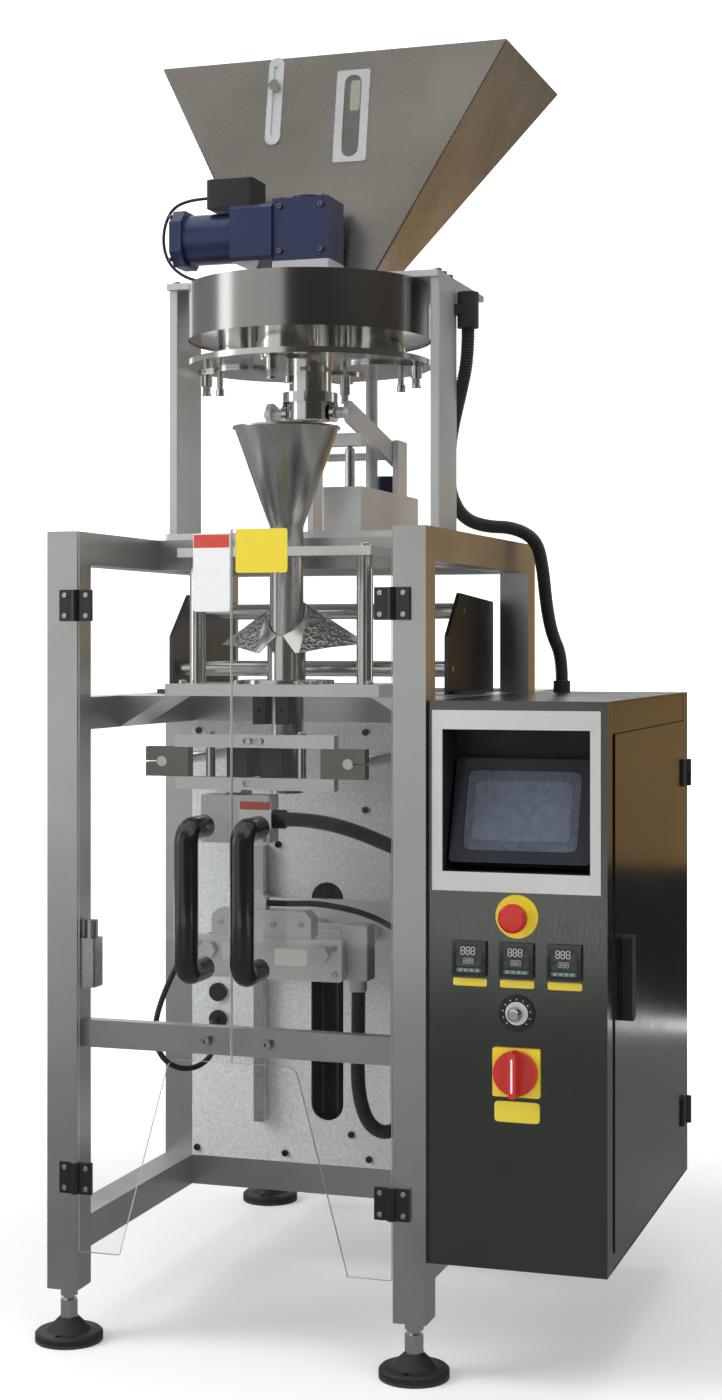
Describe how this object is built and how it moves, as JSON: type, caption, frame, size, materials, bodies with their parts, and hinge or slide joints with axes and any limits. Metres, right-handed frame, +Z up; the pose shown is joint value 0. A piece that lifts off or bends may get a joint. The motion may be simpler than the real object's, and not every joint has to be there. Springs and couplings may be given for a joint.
{
  "type": "vertical bagging machine with a rotary cup filler",
  "caption": "Upright form, fill and seal machine: hopper, rotary cup filler, funnel and forming tube, seal jaws behind clear doors, and a control cabinet.",
  "frame": {"origin": "on the floor, in the middle of the machine's outline", "axes": "+Z up, +X to the operator's right (control cabinet side), doors towards -Y"},
  "size_m": [0.8759, 1.006, 1.9864],
  "materials": {
    "steel_frame": "brushed stainless steel",
    "steel_panel": "bead blasted stainless steel",
    "steel_polished": "polished stainless steel",
    "steel_hopper": "satin stainless steel",
    "alloy_plate": "bead blasted aluminium",
    "alloy_dark": "dark anodised aluminium",
    "zinc": "zinc plated",
    "clear_sheet": "clear acrylic sheet",
    "black_plastic": "glossy black plastic",
    "charcoal": "matt black plastic",
    "motor_blue": "semi-gloss blue paint",
    "cabinet_grey": "dark satin stainless steel",
    "grey_box": "light grey plastic",
    "screen_navy": "dark blue plastic with a glass front",
    "red_plastic": "red plastic",
    "yellow_plate": "yellow plastic",
    "rubber_hose": "black ribbed hose"
  },
  "bodies": {
    "machine": {"air_hose": "rubber_hose", "back_panel": "steel_panel", "cabinet_shell": "cabinet_grey", "cable_fittings": "charcoal", "control_bases": "yellow_plate", "controllers": "black_plastic", "deck_plate": "steel_panel", "drum": "steel_polished", "film_frame": "steel_polished", "foot_bases": "charcoal", "foot_studs": "zinc", "former_stand": "alloy_plate", "forming_collar": "steel_polished", "forming_tube": "steel_polished", "frame": "steel_frame", "gear_motor": "motor_blue", "hinge_leaves": "charcoal", "hopper": "steel_hopper", "hopper_fittings": "steel_polished", "jaw_conduit": "rubber_hose", "jaw_hose": "rubber_hose", "jaw_rails": "steel_polished", "lift_base": "alloy_plate", "lift_motor": "charcoal", "main_conduit": "rubber_hose", "motor_lead": "rubber_hose", "portal": "alloy_plate", "screen_bezel": "steel_panel", "seal_clamps": "alloy_dark", "seal_conduit": "rubber_hose", "seal_yoke": "alloy_plate", "touch_screen": "screen_navy"},
    "door_left": {"door_left_panel": "clear_sheet", "door_left_fittings": "black_plastic"},
    "door_right": {"door_right_panel": "clear_sheet", "door_right_fittings": "black_plastic"},
    "cabinet_door": {"cabinet_door": "cabinet_grey"},
    "stop_button": {"stop_button": "red_plastic"},
    "main_switch": {"main_switch": "red_plastic"},
    "speed_knob": {"speed_knob": "zinc"},
    "gate_screw": {"gate_screw": "zinc"},
    "turntable": {"turntable": "steel_polished"},
    "lower_disc": {"lower_disc": "steel_polished"},
    "flap_1": {"flap_1": "steel_polished"},
    "flap_2": {"flap_2": "steel_polished"},
    "flap_3": {"flap_3": "steel_polished"},
    "flap_4": {"flap_4": "steel_polished"},
    "lift_fork": {"lift_fork": "alloy_plate"},
    "fork_roller_left": {"fork_roller_left": "steel_polished"},
    "fork_roller_right": {"fork_roller_right": "steel_polished"},
    "jack_screw": {"jack_screw": "steel_polished"},
    "fin_jaw_left": {"fin_jaw_left": "alloy_plate"},
    "fin_jaw_right": {"fin_jaw_right": "alloy_plate"},
    "jaw_carriage": {"jaw_carriage": "alloy_plate"},
    "front_jaw": {"front_jaw": "alloy_plate", "jaw_box": "grey_box"},
    "rear_jaw": {"rear_jaw": "alloy_plate"},
    "guide_roller_1": {"guide_roller_1": "steel_polished"},
    "guide_roller_2": {"guide_roller_2": "steel_polished"},
    "film_shaft": {"film_shaft": "steel_polished"}
  },
  "joints": [
    {"name": "door_left_swing", "type": "hinge", "parent": "machine", "child": "door_left", "pos_m": [-0.364, -0.427, 0.7], "axis": [0, 0, -1], "range_deg": [0, 110]},
    {"name": "door_right_swing", "type": "hinge", "parent": "machine", "child": "door_right", "pos_m": [0.12, -0.427, 0.7], "axis": [0, 0, 1], "range_deg": [0, 110]},
    {"name": "cabinet_door_swing", "type": "hinge", "parent": "machine", "child": "cabinet_door", "pos_m": [0.428, 0.207, 0.55], "axis": [0, 0, 1], "range_deg": [0, 110]},
    {"name": "stop_press", "type": "slide", "parent": "machine", "child": "stop_button", "axis": [0, 1, 0], "range_m": [0, 0.005]},
    {"name": "switch_turn", "type": "hinge", "parent": "machine", "child": "main_switch", "pos_m": [0.296, -0.4115, 0.439], "axis": [0, 1, 0], "range_deg": [0, 90]},
    {"name": "speed_turn", "type": "hinge", "parent": "machine", "child": "speed_knob", "pos_m": [0.296, -0.4115, 0.52], "axis": [0, 1, 0], "range_deg": [-135, 135]},
    {"name": "gate_slide", "type": "slide", "parent": "machine", "child": "gate_screw", "axis": [0, 0.1716, 0.9852], "range_m": [-0.079, 0.031]},
    {"name": "turntable_spin", "type": "hinge", "parent": "machine", "child": "turntable", "pos_m": [-0.122, -0.081, 1.5], "axis": [0, 0, 1], "continuous": true},
    {"name": "disc_lift", "type": "slide", "parent": "turntable", "child": "lower_disc", "axis": [0, 0, 1], "range_m": [-0.01, 0.012]},
    {"name": "fork_tilt", "type": "hinge", "parent": "machine", "child": "lift_fork", "pos_m": [-0.122, 0.159, 1.343], "axis": [-1, 0, 0], "range_deg": [-2.4, 2.9]},
    {"name": "jack_lift", "type": "slide", "parent": "machine", "child": "jack_screw", "axis": [0, 0, 1], "range_m": [-0.0075, 0.009]},
    {"name": "flap_1_swing", "type": "hinge", "parent": "lower_disc", "child": "flap_1", "pos_m": [-0.122, -0.256, 1.4627], "axis": [0, 0, 1], "range_deg": [0, 50]},
    {"name": "flap_2_swing", "type": "hinge", "parent": "lower_disc", "child": "flap_2", "pos_m": [-0.297, -0.081, 1.4627], "axis": [0, 0, 1], "range_deg": [0, 50]},
    {"name": "flap_3_swing", "type": "hinge", "parent": "lower_disc", "child": "flap_3", "pos_m": [-0.122, 0.094, 1.4627], "axis": [0, 0, 1], "range_deg": [0, 50]},
    {"name": "flap_4_swing", "type": "hinge", "parent": "lower_disc", "child": "flap_4", "pos_m": [0.053, -0.081, 1.4627], "axis": [0, 0, 1], "range_deg": [0, 50]},
    {"name": "fork_roller_left_spin", "type": "hinge", "parent": "lift_fork", "child": "fork_roller_left", "pos_m": [-0.162, -0.081, 1.3917], "axis": [1, 0, 0], "continuous": true},
    {"name": "fork_roller_right_spin", "type": "hinge", "parent": "lift_fork", "child": "fork_roller_right", "pos_m": [-0.082, -0.081, 1.3917], "axis": [1, 0, 0], "continuous": true},
    {"name": "fin_jaw_left_close", "type": "slide", "parent": "machine", "child": "fin_jaw_left", "axis": [1, 0, 0], "range_m": [0, 0.006]},
    {"name": "fin_jaw_right_close", "type": "slide", "parent": "machine", "child": "fin_jaw_right", "axis": [-1, 0, 0], "range_m": [0, 0.006]},
    {"name": "jaw_lift", "type": "slide", "parent": "machine", "child": "jaw_carriage", "axis": [0, 0, 1], "range_m": [-0.15, 0.04], "deforming": ["jaw_conduit", "jaw_hose", "air_hose"]},
    {"name": "front_jaw_close", "type": "slide", "parent": "jaw_carriage", "child": "front_jaw", "axis": [0, 1, 0], "range_m": [0, 0.029]},
    {"name": "rear_jaw_close", "type": "slide", "parent": "jaw_carriage", "child": "rear_jaw", "axis": [0, -1, 0], "range_m": [0, 0.029]},
    {"name": "film_shaft_spin", "type": "hinge", "parent": "machine", "child": "film_shaft", "pos_m": [-0.122, 0.339, 0.618], "axis": [1, 0, 0], "continuous": true},
    {"name": "guide_roller_1_spin", "type": "hinge", "parent": "machine", "child": "guide_roller_1", "pos_m": [-0.122, -0.006, 1.08], "axis": [1, 0, 0], "continuous": true},
    {"name": "guide_roller_2_spin", "type": "hinge", "parent": "machine", "child": "guide_roller_2", "pos_m": [-0.122, -0.071, 0.989], "axis": [1, 0, 0], "continuous": true}
  ],
  "couplings": [
    {"joint": "fork_tilt", "follows": "disc_lift", "rad_per_m": 4.1667},
    {"joint": "jack_lift", "follows": "disc_lift", "ratio": 0.7292},
    {"joint": "fin_jaw_right_close", "follows": "fin_jaw_left_close", "ratio": 1},
    {"joint": "rear_jaw_close", "follows": "front_jaw_close", "ratio": 1}
  ]
}
